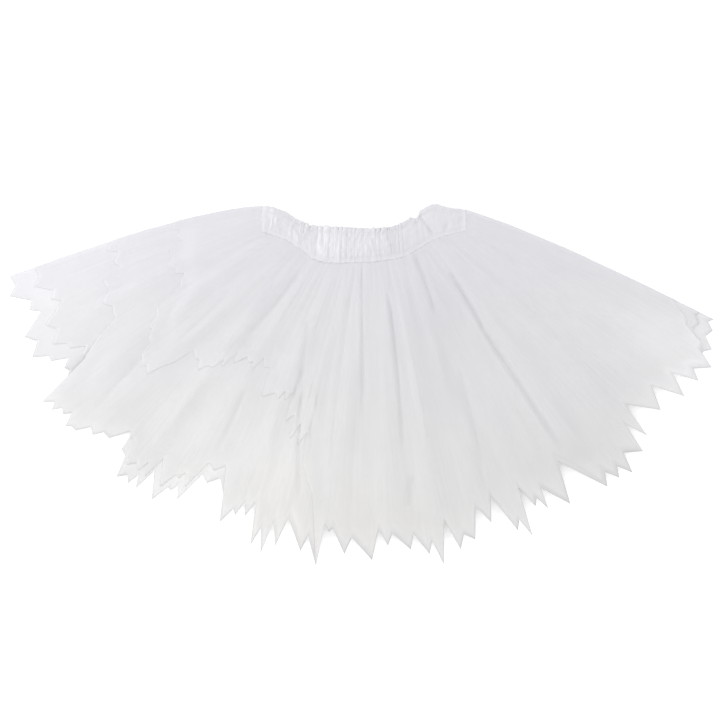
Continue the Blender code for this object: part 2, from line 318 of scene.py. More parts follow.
def outline_of(node):
    """The edge of a panel's underside, as plan points in order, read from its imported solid.

    The only edges as short as the wall is thick are those that join the underside to the top
    round the rim, so they find the rim however steeply a fold leans there.
    """
    shape = bmesh.new()
    shape.from_mesh(node.data)
    bmesh.ops.remove_doubles(shape, verts=shape.verts, dist=WELD)
    low_wall, high_wall = WALL_OF_SOLID
    posts = [edge for edge in shape.edges if low_wall < edge.calc_length() < high_wall]
    under = {min(edge.verts, key=lambda vertex: vertex.co.z) for edge in posts}
    nexts = {}
    for edge in {edge for post in posts for face in post.link_faces for edge in face.edges}:
        a, b = edge.verts
        if a in under and b in under:
            nexts.setdefault(a, []).append(b)
            nexts.setdefault(b, []).append(a)
    start = next(iter(nexts))
    loop, before, here = [start], None, start
    while True:
        onward = [v for v in nexts[here] if v is not before]
        before, here = here, onward[0]
        if here is start:
            break
        loop.append(here)
    points = [Vector((v.co.x, v.co.y)) for v in loop]
    shape.free()
    return points


def cut_outline(points, band_box):
    """The outline as four runs: the sewing line, the hem, and the left and right side edges.

    Each runs from left to right or from the waist to the hem. A side edge leaves the band in a
    long step, and its far corner is its first sharp turn.
    """
    count = len(points)

    def nearest(x, y):
        return min(range(count), key=lambda i: (points[i] - Vector((x, y))).length)

    def side(corner):
        step = max((-1, 1), key=lambda s: (points[(corner + s) % count] - points[corner]).length)
        run = [corner]
        while True:
            here, after = (run[-1] + step) % count, (run[-1] + 2 * step) % count
            run.append(here)
            first = points[here] - points[run[-2]]
            second = points[after] - points[here]
            if first.angle(second) > SHARP_TURN:
                return run, step

    low, high = band_box
    left_run, left_step = side(nearest(low.x, high.y))
    right_run, _ = side(nearest(high.x, high.y - RIGHT_CORNER_DROP))

    def between(first, last, step):
        found = [first]
        while found[-1] != last:
            found.append((found[-1] + step) % count)
        return [points[i] for i in found]

    hem = between(left_run[-1], right_run[-1], left_step)
    sewing = between(left_run[0], right_run[0], -left_step)
    return sewing, hem, [points[i] for i in left_run], [points[i] for i in right_run]


def columns_over(hem):
    """Places along the hem, with every corner of it and more between those far apart.

    The hem's swing grows all the way from left to right.
    """
    places = [hem[0]]
    for a, b in zip(hem, hem[1:]):
        span = float(fan_place(b.x, b.y)[0] - fan_place(a.x, a.y)[0])
        pieces = max(2, math.ceil(span / COLUMN_SWING))
        places += [a.lerp(b, (piece + 1) / pieces) for piece in range(pieces)]
    return places


def swing_shares(points):
    """How far round the fan each point of a run lies, from 0 at its first to 1 at its last."""
    swings = np.array([float(fan_place(point.x, point.y)[0]) for point in points])
    return (swings - swings[0]) / (swings[-1] - swings[0])


def on_length(points, share):
    """The place at a share of the length of a run of points."""
    lengths = [(b - a).length for a, b in zip(points, points[1:])]
    wanted = share * sum(lengths)
    for a, b, length in zip(points, points[1:], lengths):
        if wanted <= length:
            return a.lerp(b, wanted / length)
        wanted -= length
    return points[-1].copy()


def fan_place(x, y):
    """(swing in degrees, reach in metres) of a plan place, as seen from the fan's centre."""
    across, down = x - FAN_CENTRE.x, FAN_CENTRE.y - y
    return np.degrees(np.arctan2(across, down)), np.hypot(across, down)


# ---------------------------------------------------------------------------------------------
# Materials


USUAL_NOISE = (0.3, 0.7)  # most values of a noise texture lie between these
USUAL_SUM = (0.7, 1.3)  # and most sums of two of them between these
NET_COVER = (0.62, 0.84)  # how much a hole of the net hides of what lies below it, and a thread
COVER_LIMITS = (0.05, 0.97)  # the least and the most that any place of the net hides
STREAK_SIZE = (3.0 * MM, 90 * MM)  # tulle gathers in fine streaks from the waist to the hem
STREAK_COVER = 0.012  # how much more or less of what lies below is hidden by a streak
PATCH_SIZE = 34 * MM  # of the soft patches where the net lies more or less closely
LIGHTNESS = (0.465, 0.535)  # how light those patches are, between the net's two colours
CLOSE_SHADE = 2.2  # how fast the painted shade darkens the net's colour
EDGE_COVER = 0.1  # how much more the net hides where its cut edge lies on another net
EDGE_LIGHT = 0.1  # how much light is painted there
COOLER_Y = (-0.15, 0.17)  # metres: from the hem in the middle to the waist
FLOAT_SIZE = (0.6 * MM, 9 * MM)  # of the floats of the satin weave, as drawn


def net_threads(tree, cloth, pitch):
    """1 on the threads of a hexagonal net and 0 in its holes."""
    # The holes lie on a hexagonal lattice, where three waves 60 degrees apart all crest. Their
    # sum is 3 in the middle of a hole, -1 halfway along a thread and -1.5 where threads meet.
    wave_number = 4 * math.pi / (math.sqrt(3) * pitch)
    waves = []
    for turn in (90, 210, 330):
        angle = math.radians(turn)
        way = (wave_number * math.cos(angle), wave_number * math.sin(angle), 0)
        phase = add_node(tree, "ShaderNodeVectorMath", {0: cloth, 1: way}, operation="DOT_PRODUCT")
        waves.append(calculated(tree, "COSINE", phase.outputs["Value"]))
    lattice = calculated(tree, "ADD", calculated(tree, "ADD", waves[0], waves[1]), waves[2])
    return mapped(tree, lattice, (-0.2, 1.4), (1, 0), interpolation_type="SMOOTHSTEP")


def net_cover(tree, threads, streaks, closer_and_shaded, cut):
    """How much the net hides of what lies below it."""
    total = mapped(tree, threads, (0, 1), NET_COVER)
    streaked = mapped(tree, streaks, USUAL_NOISE, (-STREAK_COVER, STREAK_COVER))
    # A cut edge that lies on another net shows little of the gap below it.
    edged = calculated(tree, "MULTIPLY", cut, EDGE_COVER)
    for extra in (streaked, closer_and_shaded, edged):
        total = calculated(tree, "ADD", total, extra)
    limits = {"Value": total, "Min": COVER_LIMITS[0], "Max": COVER_LIMITS[1]}
    return add_node(tree, "ShaderNodeClamp", limits).outputs[0]


def net_colour(tree, cloth, streaks, closer_and_shaded, cut, thread_colour):
    """The colour of the net."""
    inputs = {"Vector": cloth, "Scale": 1 / PATCH_SIZE, "Detail": 2.0}
    patches = add_node(tree, "ShaderNodeTexNoise", inputs).outputs["Fac"]
    openness = mapped(tree, calculated(tree, "ADD", streaks, patches), USUAL_SUM, LIGHTNESS)
    # Painted shade: the net's colour is darker where the attribute is higher, and lighter where it
    # is lower.
    closed = calculated(tree, "MULTIPLY", closer_and_shaded, CLOSE_SHADE)
    opened = calculated(tree, "SUBTRACT", openness, closed)
    # Painted light along a cut edge that lies on another net.
    factor = calculated(tree, "MULTIPLY_ADD", cut, EDGE_LIGHT, opened, use_clamp=True)
    shade = mixed(tree, factor, (*linear("#D8D8DB"), 1), (*thread_colour, 1))
    # Painted tint of the room's light on the white nylon: a little cooler towards the waist,
    # and a little warmer at the hem.
    place = add_node(tree, "ShaderNodeTexCoord").outputs["Object"]
    towards_waist = add_node(tree, "ShaderNodeSeparateXYZ", {0: place}).outputs["Y"]
    cooler = mapped(tree, towards_waist, COOLER_Y)
    tint = mixed(tree, cooler, (*linear("#FFFEFB"), 1), (*linear("#FCFCFF"), 1))
    return mixed(tree, 1.0, shade, tint, blend_type="MULTIPLY")


def nylon_tulle(settings):
    """Nylon tulle: a warp-knitted hexagonal net of fine, matt-white monofilament.

    The threads scatter light softly and the holes let the layer below show through.
    """
    material, tree, shader = new_material("nylon_tulle")
    cloth = add_node(tree, "ShaderNodeUVMap", uv_map=CLOTH_UV).outputs["UV"]
    threads = net_threads(tree, cloth, settings.net_pitch)
    streaks = long_noise(tree, cloth, STREAK_SIZE, 3.0, 0.6)
    closer_and_shaded = add_node(tree, "ShaderNodeAttribute", attribute_name=CLOSENESS_AND_PAINTED_SHADE).outputs["Fac"]
    cut = add_node(tree, "ShaderNodeAttribute", attribute_name=CUT).outputs["Fac"]
    looks = {
        "Alpha": net_cover(tree, threads, streaks, closer_and_shaded, cut),
        "Base Color": net_colour(tree, cloth, streaks, closer_and_shaded, cut, settings.thread_colour),
        "Normal": bumped(tree, threads, 0.15, settings.thickness),
        "Roughness": 0.75,
        "Sheen Weight": 0.25,
        "IOR": 1.53,  # nylon
    }
    set_inputs(tree, shader, looks)
    return material


def polyester_satin(settings):
    """Polyester satin: long floats of bright filament, so it is smooth with a broad soft gloss."""
    material, tree, shader = new_material("polyester_satin")
    cloth = add_node(tree, "ShaderNodeUVMap", uv_map=CLOTH_UV).outputs["UV"]
    # The floats of a satin weave are 0.3 mm wide, drawn at twice that so that they show.
    floats = long_noise(tree, cloth, FLOAT_SIZE, 2.0)
    # Painted shade: the satin is greyer where the attribute is higher, and lighter where it is
    # lower.
    painted_satin_shade = add_node(tree, "ShaderNodeAttribute", attribute_name=CLOSENESS_AND_PAINTED_SHADE).outputs["Fac"]
    bright = calculated(tree, "SUBTRACT", floats, painted_satin_shade, use_clamp=True)
    looks = {
        "Base Color": mixed(tree, bright, (*linear("#D6D5DA"), 1), (*settings.colour, 1)),
        "Normal": bumped(tree, floats, 0.12, 0.15 * MM),
        "Roughness": 0.3,
        "Anisotropic": 0.3,
        "Sheen Weight": 0.15,
        "IOR": 1.57,  # polyester
    }
    set_inputs(tree, shader, looks)
    return material


def polyester_thread():
    """Spun polyester sewing thread: matt, a little whiter than the satin."""
    material, tree, shader = new_material("polyester_thread")
    place = add_node(tree, "ShaderNodeTexCoord").outputs["Object"]
    # The twist of the thread shows as fine mottling, 0.7 mm long.
    twist = add_node(tree, "ShaderNodeTexNoise", {"Vector": place, "Scale": 1 / (0.7 * MM)})
    ends = (*linear("#DEDDE2"), 1), (*linear("#F8F8FA"), 1)
    colour = mixed(tree, twist.outputs["Fac"], *ends)
    set_inputs(tree, shader, {"Base Color": colour, "Roughness": 0.8})
    return material


def matt_board(settings):
    """Matt white board: it has no gloss at all, and a faint light of its own keeps it even."""
    material, tree, shader = new_material("matt_white_board")
    looks = {
        "Base Color": (*settings.floor_colour, 1),
        "Roughness": 1.0,
        "Specular IOR Level": 0.0,
        "Emission Color": (1, 1, 1, 1),
        "Emission Strength": 0.25,
    }
    set_inputs(tree, shader, looks)
    return material


# ---------------------------------------------------------------------------------------------
# Tulle panels


COLUMN_SWING = 0.24  # degrees from one grid column to the next, at most
PANEL_ROWS = 62
TUCK_UNDER = 2.5 * MM  # how far a panel reaches under the waistband
TUCK_AT_SIDES = 0.3  # the share of that at its side edges
TUCK_GROWS = 0.03  # share of the width over which it grows to the whole
BOWED_SHARE = 0.16  # share of the width over which the curve of a side edge is felt
FINER_SHARE = 0.6  # of the solid's folds, in the mix of a finer and a broader run of them
SIDE_SHARE = 0.06  # share of the width over which a side edge calms the relief
CLOTH_LENGTH = 0.27  # metres from the sewing line to the hem, about
LEAST_HEIGHT = 0.25 * MM  # of the middle of a net over the floor

# The gathers along the sewing line are the same in every panel, with finer ones of its own.
SHARED_SEED = 7
SHARED_CRUMPLE = 1.0  # the place in the noise of the crumple that all panels share
OWN_GATHERS = 90
OWN_RELIEF = 0.25  # height of its own gathers, as a share of the shared ones
OWN_CRUMPLE = 0.35  # the same for its own crumple
CRUMPLE_SIZE = 45 * MM
CRUMPLED_FROM = 0.25  # shares of the length where the crumple is whole, and the gathers are
RISEN_AT = 0.1
SUNK_SHARE = 0.4  # of the relief of the gathers lies below the solid's middle

# Cloth coordinates keep the width of the hem all the way up, so that the net is drawn together
# in the gathers as the real one is.
HEM_ARC = math.radians(137.5) * 0.385  # metres, from one corner of the hem to the other
HEM_WAVES = 1.05  # how much longer the waving hem is than its arc

SEAM_PAINTED_LIGHT = 0.15  # painted light along the seam, which also makes the net there a little more see-through
SEAM_REACH = 7 * MM
CLEARANCE = 0.45 * MM  # from the middle of one net to the middle of the next
HEM_CLEARANCE = 0.27 * MM  # the same at a hem
BEYOND = 5 * MM  # a hem lies on the panel below if that one is found this far beyond it
HEM_RUN_COLUMNS = 9  # the columns over which the points of a hem are evened out
DROOP_FROM = 0.78  # share of the way to the hem where the net starts to droop
DROOP_SHARES = (0.62, 0.98)  # of the way down, at a hem over the floor and at one on a panel
MOST_DROOP = 8 * MM  # the net is too stiff to drop further
HEM_SHADE = 16 * MM  # how far in from its points the painted shade of a hem reaches
HEM_FROM = 0.9  # shares of the length where the clearance of a hem begins, and its cut edge
CUT_FROM = 0.98

# Painted shade along a hem where it lies on the floor, over its swing in degrees. It also makes the
# net hide more there, as the points of the layers that end with it double it.
HEM_SHADE_AT = [-70, -45, -30, -18, -8, 0, 14, 25, 37, 43, 50, 58, 61.5, 64]
HEM_SHADE_BY = [0.03, 0.06, 0.05, 0.13, 0.23, 0.23, 0.18, 0.18, 0.32, 0.18, 0.06, 0.16, 0.0, 0.1]

# One row for each crease that shows on a panel: its swings in degrees and its reaches in
# millimetres at its two ends, its width and depth in millimetres, and the shade painted along
# it, which also makes the net there hide more; a negative one is painted light.
CREASES = {
    "outer_front_panel": [
        # first swing, last swing, first reach, last reach, width, depth, painted shade
        (37.8, 35.3, 140, 208, 2.3, -1.7, 0.16),
        (35.2, 34.3, 206, 350, 2.5, -1.8, 0.18),
        (31.6, 30.9, 200, 345, 7.0, 0.9, -0.08),
        (38.6, 38.2, 250, 352, 8.0, -0.8, 0.06),
        (-0.6, -0.2, 108, 250, 1.6, -1.2, 0.10),
        (10.4, 7.8, 140, 292, 1.9, -1.3, 0.10),
        (14.5, 12.4, 130, 300, 3.0, 0.7, -0.03),
        (8.6, 7.6, 322, 350, 3.6, -1.4, 0.10),
        (28.5, 25.0, 108, 170, 2.2, -1.2, 0.08),
        (22.5, 20.0, 120, 240, 5.0, 0.7, -0.04),
        (24.5, 20.5, 230, 345, 3.0, -0.8, 0.06),
        (-18.5, -14.0, 170, 258, 3.0, -1.0, 0.06),
        (-29.0, -33.5, 130, 215, 3.4, -1.0, 0.07),
        (-8.0, -6.5, 130, 345, 4.0, 0.7, -0.03),
        (49.0, 47.0, 150, 350, 3.4, -0.7, 0.03),
        (55.5, 58.0, 160, 330, 4.0, 0.6, -0.02),
        (-45.0, -45.5, 190, 280, 3.0, -0.9, 0.06),
    ],
    "inner_front_panel": [
        (-14.6, -10.6, 245, 345, 2.6, -1.3, 0.10),
        (-19.5, -16.5, 260, 352, 6.0, 0.9, -0.05),
        (-27.0, -26.0, 260, 345, 2.6, -0.8, 0.03),
        (-48.0, -47.0, 300, 372, 2.6, -0.8, 0.03),
        (-36.0, -36.5, 270, 380, 4.4, 0.8, -0.03),
    ],
    "inner_back_panel": [
        (-62.0, -63.5, 250, 360, 3.0, -0.7, 0.03),
        (18.0, 21.0, 120, 300, 3.2, 0.9, 0.02),
    ],
    "outer_back_panel": [
        (-63.0, -60.5, 150, 330, 3.4, 1.6, 0.03),
        (-53.0, -49.0, 120, 260, 2.6, 1.9, 0.04),
        (-43.5, -44.5, 160, 350, 3.8, 1.7, 0.03),
        (-32.0, -29.5, 110, 240, 2.4, 1.8, 0.04),
        (-24.0, -20.0, 200, 350, 3.4, 2.0, 0.03),
        (-11.0, -12.5, 105, 290, 2.8, 2.0, 0.04),
        (-3.5, -1.0, 180, 345, 4.2, 1.6, 0.02),
        (7.5, 5.0, 105, 225, 2.4, 1.9, 0.04),
        (15.0, 16.5, 130, 340, 3.6, 1.9, 0.03),
        (27.0, 31.0, 110, 300, 3.0, 2.0, 0.04),
        (40.5, 38.5, 170, 350, 3.6, 1.7, 0.02),
        (50.0, 53.0, 120, 280, 2.8, 1.6, 0.04),
        (60.0, 59.0, 180, 350, 3.4, 1.3, 0.02),
    ],
}

# Painted shade and light over broad parts of the skirt, which also make the net a little more
# or less see-through. Each row is a place, as a swing and a reach, its half width in degrees and
# its half length in millimetres, and the painted shade there; a negative one is painted light.
BROAD_PARTS = [
    # swing, reach, half width, half length, painted shade
    (59.5, 350, 6.0, 45, -0.24),
    (60.0, 200, 8.0, 90, -0.03),
    (42.0, 330, 8.0, 60, 0.11),
    (24.5, 160, 12.5, 75, 0.22),
    (20.0, 260, 9.5, 60, 0.16),
    (14.0, 340, 12.0, 40, 0.05),
    (50.0, 190, 14.0, 90, 0.05),
    (28.0, 325, 8.0, 45, 0.11),
    (-20.0, 320, 8.0, 40, -0.08),
    (-24.0, 190, 20.0, 70, 0.03),
    (-9.0, 325, 11.0, 55, -0.19),
    (-62.0, 320, 12.0, 80, -0.02),
    (-30.0, 330, 5.0, 60, -0.16),
    (-17.0, 268, 2.5, 25, -0.08),
    (-7.0, 325, 2.2, 45, 0.20),
    (-53.5, 310, 3.2, 50, 0.17),
    (-36.3, 170, 2.6, 45, 0.19),
    (-36.0, 250, 3.0, 32, -0.11),
    (-49.0, 215, 7.0, 50, 0.05),
    (-72.0, 275, 4.0, 55, -0.07),
    (26.5, 145, 1.8, 25, -0.09),
    (24.0, 225, 1.6, 90, -0.09),
    (10.5, 190, 2.2, 80, 0.08),
    (20.5, 300, 1.8, 35, -0.08),
    (36.0, 365, 3.5, 22, 0.14),
    (62.5, 362, 2.0, 16, -0.08),
    (56.5, 280, 5.0, 50, -0.06),
    (-68.0, 335, 5.0, 30, -0.05),
    (10.0, 335, 6.0, 30, -0.08),
]



def gather_table(seed, count):
    """(place, half width, height, length) of each small gather, uneven along the sewing line."""
    draw = random.Random(seed)
    rows = []
    for number in range(count):
        place = (number + 0.5 + draw.uniform(-0.3, 0.3)) / count
        half_width = draw.uniform(0.42, 0.75) / count
        rows.append((place, half_width, draw.uniform(0.45, 1.0), draw.uniform(0.18, 0.62)))
    return rows


def gather_field(column_share, out, seed, count):
    """Height of all the small gathers, 0 to 1, over arrays of the same shape.

    Each is a round ridge that rises from the sewing line and flattens towards its own length.
    """
    field = np.zeros_like(out)
    rise = 0.55 + 0.45 * ease(out / RISEN_AT)
    for place, half_width, height, length in gather_table(seed, count):
        offset = np.abs(column_share - place) / half_width
        bump = np.where(offset < 1, 0.5 * (1 + np.cos(np.pi * np.minimum(offset, 1))), 0)
        field += bump * height * (ease((length - out) / (0.6 * length)) * rise)
    return field


def crease_fields(name, swing, reach):
    """(height, closeness with painted shade and light) that the creases and broad parts of a panel
    add, over arrays of places.
    """
    height = np.zeros_like(swing)
    closeness_and_shade = np.zeros_like(swing)
    for first, last, near, far, width, depth, closer_and_shaded in CREASES[name]:
        out = (reach / MM - near) / (far - near)
        line = first + (last - first) * out
        off = np.radians(swing - line) * reach / (width * MM)
        # It fades at both ends, and is a steep trough with a softer roll of cloth beside it.
        ends = ease((out + 0.06) / 0.14) * ease((1.04 - out) / 0.16)
        trough = np.exp(-(off**2))
        roll = np.exp(-(((off + 2.4) / 1.5) ** 2))
        height += depth * MM * ends * (trough - 0.35 * roll)
        # The crease's closeness makes the net hide more, and is painted shade in its colour
        # (painted light, where negative).
        closeness_and_shade += closer_and_shaded * ends * np.exp(-((off / 0.9) ** 2))
    # Painted shade and light over broad parts of the skirt, which also change how much the net
    # hides.
    for middle, centre, half_width, half_length, closer_and_shaded in BROAD_PARTS:
        off = ((swing - middle) / half_width) ** 2 + ((reach / MM - centre) / half_length) ** 2
        closeness_and_shade += closer_and_shaded * np.exp(-off)
    return height, closeness_and_shade


def crumple_field(x, y, seed):
    """Soft unevenness, about -1 to 1: broad waves with a finer crumple on them."""
    values = np.zeros(x.shape)
    for index in np.ndindex(x.shape):
        place = Vector((x[index] / CRUMPLE_SIZE, y[index] / CRUMPLE_SIZE, seed * 3.7))
        values[index] = noise.noise(place) + 0.45 * noise.noise(place * 2.7)
    return values


def small_relief(settings, seed, x, y, column_share, out):
    """Height of the gathers and the crumple of a panel, over arrays of places."""
    shared = gather_field(column_share, out, SHARED_SEED, settings.gather_count)
    own = gather_field(column_share, out, seed, OWN_GATHERS)
    relief = settings.gather_relief * shared + settings.gather_relief * OWN_RELIEF * own
    shown = ease(out / CRUMPLED_FROM)
    crumple = settings.crumple * crumple_field(x, y, SHARED_CRUMPLE) * shown
    crumple += OWN_CRUMPLE * settings.crumple * crumple_field(x, y, seed) * shown
    return relief + crumple - SUNK_SHARE * settings.gather_relief * ease(out / RISEN_AT)


def laid_on(height, x, y, reach, along, below):
    """(heights, on_top) of a panel that keeps clear of the one below and droops onto it.

    A hem that ends on top of the panel below droops further than one that ends with it, and
    on_top is 1 in the columns of such a hem.
    """
    resting = np.zeros_like(height)
    for index in np.ndindex(height.shape):
        found = place_below(below, x[index], y[index], OVERHEAD)
        if found is None:
            found = below.find_nearest(Vector((x[index], y[index], MIDDLE_HEIGHT)))[0]
        resting[index] = found.z
    on_top = np.zeros((1, height.shape[1]))
    for column in range(height.shape[1]):
        hem = Vector((x[-1, column], y[-1, column]))
        beyond = hem + (hem - FAN_CENTRE).normalized() * BEYOND
        if place_below(below, *beyond, OVERHEAD) is not None:
            on_top[0, column] = 1
    on_top = smoothed(on_top, 0, 3)
    # The droop follows the run of the notches, not each point of the hem, so it leaves no steps.
    wide = np.pad(reach[-1], HEM_RUN_COLUMNS, mode="edge")
    notches = [wide[i : i + reach.shape[1]] for i in range(2 * HEM_RUN_COLUMNS + 1)]
    run = smoothed(np.min(notches, axis=0)[None, :], 0, HEM_RUN_COLUMNS)
    towards_hem = (reach - reach[:1, :]) / (run - reach[:1, :])
    droop = ease((towards_hem - DROOP_FROM) / (1 - DROOP_FROM))
    resting += CLEARANCE + (HEM_CLEARANCE - CLEARANCE) * ease((along - HEM_FROM) / (1 - HEM_FROM))
    share = DROOP_SHARES[0] + (DROOP_SHARES[1] - DROOP_SHARES[0]) * on_top
    lowered = np.maximum(height + (resting - height) * share, height - MOST_DROOP)
    height = height + (np.minimum(lowered, height) - height) * droop
    return np.maximum(height, resting), on_top


def panel_plan(node, outs):
    """(plan, shares) of a panel: the places of its grid, and how far round each column lies.

    Its columns run from the sewing line to the hem, and bend like a side edge near it.
    """
    sewing, hem, left, right = cut_outline(outline_of(node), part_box("waistband"))
    sewn_shares = swing_shares(sewing)
    sewn_x, sewn_y = zip(*sewing)
    ends = columns_over(hem)
    shares = swing_shares(ends).tolist()
    plan = np.zeros((len(outs), len(ends), 2))
    for column, (share, end) in enumerate(zip(shares, ends)):
        sewn = Vector([np.interp(share, sewn_shares, along) for along in (sewn_x, sewn_y)])
        grown = float(ease(min(share, 1 - share) / TUCK_GROWS))
        tuck = TUCK_UNDER * (TUCK_AT_SIDES + (1 - TUCK_AT_SIDES) * grown)
        start = sewn + (FAN_CENTRE - sewn).normalized() * tuck
        for row, out in enumerate(outs):
            spot = start.lerp(end, out)
            for edge, off in ((left, share), (right, 1 - share)):
                nearness = float(1 - off / BOWED_SHARE)
                if nearness > 0:
                    spot += nearness * (on_length(edge, out) - edge[0].lerp(edge[-1], out))
            plan[row, column] = spot
    return plan, shares


def middle_heights(node, plan):
    """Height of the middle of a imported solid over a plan, with its folds made softer."""
    tree = surface_tree(node)
    middle = np.zeros(plan.shape[:2])
    for row, column in np.ndindex(middle.shape):
        spot = Vector(plan[row, column])
        found = heights_at(tree, spot.x, spot.y)
        if found is None:
            inner_row = 3 if row == 0 else row - 1
            spot += (Vector(plan[inner_row, column]) - spot) * 0.5
            found = heights_at(tree, spot.x, spot.y)
        if found is None:
            place = tree.find_nearest(Vector((spot.x, spot.y, MIDDLE_HEIGHT)))[0]
            found = (place.z, place.z)
        middle[row, column] = (found[0] + found[1]) / 2
    finer, broader = smoothed(middle, 3.0, 4.0), smoothed(middle, 3.0, 14.0)
    return FINER_SHARE * finer + (1 - FINER_SHARE) * broader


def panel_grid(name, relief, seed, settings, below):
    """(points, cloth coordinates, closeness with painted shade and light, edge) of a panel, each of
    rows and columns.

    edge is 1 where its hem lies on another panel. below is the surface of the panel that this
    one lies on, or None for the lowest.
    """
    outs = [row / (PANEL_ROWS - 1) for row in range(PANEL_ROWS)]
    plan, shares = panel_plan(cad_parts[name], outs)
    x, y = plan[..., 0], plan[..., 1]
    swing, reach = fan_place(x, y)
    column_share = np.broadcast_to(np.array(shares), x.shape)
    opened = ease(np.minimum(column_share, 1 - column_share) / SIDE_SHARE)
    from_start = reach - reach[0:1, :]
    out = from_start / CLOTH_LENGTH
    creased, closeness_and_shade = crease_fields(name, swing, reach)
    height = middle_heights(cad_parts[name], plan)
    height += relief * opened * small_relief(settings, seed, x, y, column_share, out)
    height = np.maximum(height + creased * opened, LEAST_HEIGHT)
    # Painted light along the seam: the net there is lighter in colour and a little more
    # see-through.
    closeness_and_shade = closeness_and_shade - SEAM_PAINTED_LIGHT * ease(1 - from_start / SEAM_REACH)
    along = np.broadcast_to(np.array(outs)[:, None], x.shape)
    on_top = np.zeros((1, len(shares)))
    if below is not None:
        height, on_top = laid_on(height, x, y, reach, along, below)
    edge = on_top * ease((along - CUT_FROM) / (1 - CUT_FROM))
    # Painted shade along the points of a hem over the floor, where the points of the layers that
    # end with it also double the net.
    shaded = np.interp(swing, HEM_SHADE_AT, HEM_SHADE_BY) * (1 - on_top)
    closeness_and_shade = closeness_and_shade + shaded * ease(1 - (reach[-1:, :] - reach) / HEM_SHADE)
    cloth = np.dstack([column_share * HEM_ARC * HEM_WAVES, reach])
    return np.dstack([x, y, height]), cloth, closeness_and_shade, edge


class TUTU_OT_tulle_panels(bpy.types.Operator):
    """Make the four gathered tulle panels, each round its own solid"""

    bl_idname = "tutu.tulle_panels"
    bl_label = "Tulle panels"

    def execute(self, context):
        settings = context.scene.tutu_tulle
        material = nylon_tulle(settings)
        below = None
        for name, relief, seed, area in PANELS:
            points, cloth, closeness_and_shade, edge = panel_grid(name, relief, seed, settings, below)
            attributes = {CLOSENESS_AND_PAINTED_SHADE: closeness_and_shade, CUT: edge}
            mesh = grid_mesh(name + "_tulle", points, cloth, attributes)
            if sum(face.normal.z for face in mesh.polygons) < 0:
                mesh.flip_normals()
            panel = link_object(name + "_tulle", mesh, material)
            below = surface_tree(panel)
            add_wall(panel, settings.thickness)
            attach(panel, "root")
            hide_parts(name)
        return {"FINISHED"}


# ---------------------------------------------------------------------------------------------
# Waistband


BAND_FRONT_COLUMNS = 560
BAND_BACK_COLUMNS = 220
BAND_TURN_COLUMNS = 14
BAND_STATIONS = 52  # the places across at which its edges are read from its solid
STATION_REACH = 0.75  # of the step from one of them to the next
SIDE_FOLD = 5.0 * MM  # how far the round fold at each end of the flattened ring reaches in
INNER_FOLD = 0.7 * MM  # the same for the inner face
SLIT_HEIGHT = 5.8 * MM  # height of the slit between the front and the back of the ring
SLIT = 0.9 * MM
END_DROP = 0.7 * MM  # from the outer face at the ends of the ring to the fold itself
FULL_HEIGHT_IN = 16 * MM  # how far in from its ends the front has its full height
FULL_SLIT_IN = 14 * MM  # and the slit lies level
HEADER_GAP = 0.75 * MM  # between the two walls of the frill above the upper stitching
MOST_HEADER = 0.4  # as a share of the whole gap between the outer face and the inner
HEADER_FOOT = 0.86  # as shares of the width, from the lower edge up
UPPER_STITCHING = 0.83
LOWER_STITCHING = 0.11
STITCHING_REACH = 0.03
STITCHING_HOLDS = 0.35  # how much lower it makes the gathers
STITCH = (0.95 * MM, 0.3 * MM, 0.26 * MM, 1)  # half the length, width and height of a stitch
STITCH_STANDS = 0.1 * MM  # over the face of the satin

SEAM_IN = 6 * MM  # how far in from its ends the band's height over the tulle is read
SEAM_BELOW = 1.5 * MM  # and how far below its lower edge
SEAM_SINKS = 0.1 * MM
SEAM_RISE = 0.2  # share of the width over which the front rises from the tulle
EDGE_SINKS = 0.2 * MM  # how much lower the last of the lower edge lies
STEEPER = 2.2  # how much steeper the steep flank of a fold is
CRUSH_SIZE = (6 * MM, 10 * MM)  # of the little ridges of crushed satin, across and up
CRUSH_SHARES = (0.2, 0.22)  # of the relief on plain satin, and how much more where it is gathered

# How far the gathers push the two edges of the casing in and out.
FRILL_WAVES = 2.3 * MM
FRILL_SWELL = 1.1 * MM
FRILL_STANDS = 0.6 * MM
LOWER_WAVES = 1.6 * MM
LOWER_REACH = 0.16  # share of the width over which the lower edge shows its waves
STEPS_FROM = 0.45  # share of the width where the steps of the top edge begin
INNER_WAVES = 0.25 * MM

# The seeds and the shares of the gathers on the front, on the back and of the finer ones.
FRONT_SEED, BACK_SEED, FINE_SEED = 5, 17, 29
GATHERS_SHARE, FINE_SHARE = 0.6, 0.16
BACK_GATHERED = 0.8
CLOTH_GATHERED = 1.4  # how much wider the casing's cloth is drawn than the ring

# The section of the casing as the cloth goes: up the outer face, over the frill and down the
# inner face, as shares of the width.
OUTER_UPS = [n / 30 for n in range(31)]
HEADER_UPS = [1.0, 0.97, 0.93, 0.89, 0.86]
INNER_UPS = [0.82, 0.78, 0.73, 0.66, 0.56, 0.45, 0.34, 0.23, 0.12, 0.05]

# Height in millimetres of the outer face over its width, on the front and where the ring turns.
FRONT_UPS = [0.00, 0.06, 0.11, 0.20, 0.50, 0.76, 0.83, 0.90, 1.00]
FRONT_HEIGHTS = [10.3, 10.6, 10.3, 11.5, 12.2, 11.3, 10.4, 10.9, 9.6]
END_UPS = [0.00, 0.29, 0.44, 0.60, 0.75, 0.90, 1.00]
END_HEIGHTS = [9.7, 9.3, 8.7, 7.7, 6.7, 6.0, 5.8]

# How strongly the satin is gathered from the left end of the front to the right.
GATHERED_AT = [0.00, 0.11, 0.17, 0.30, 0.64, 0.71, 0.78, 0.86, 1.00]
GATHERED_BY = [0.22, 0.30, 0.85, 1.00, 1.00, 0.50, 0.25, 0.22, 0.25]

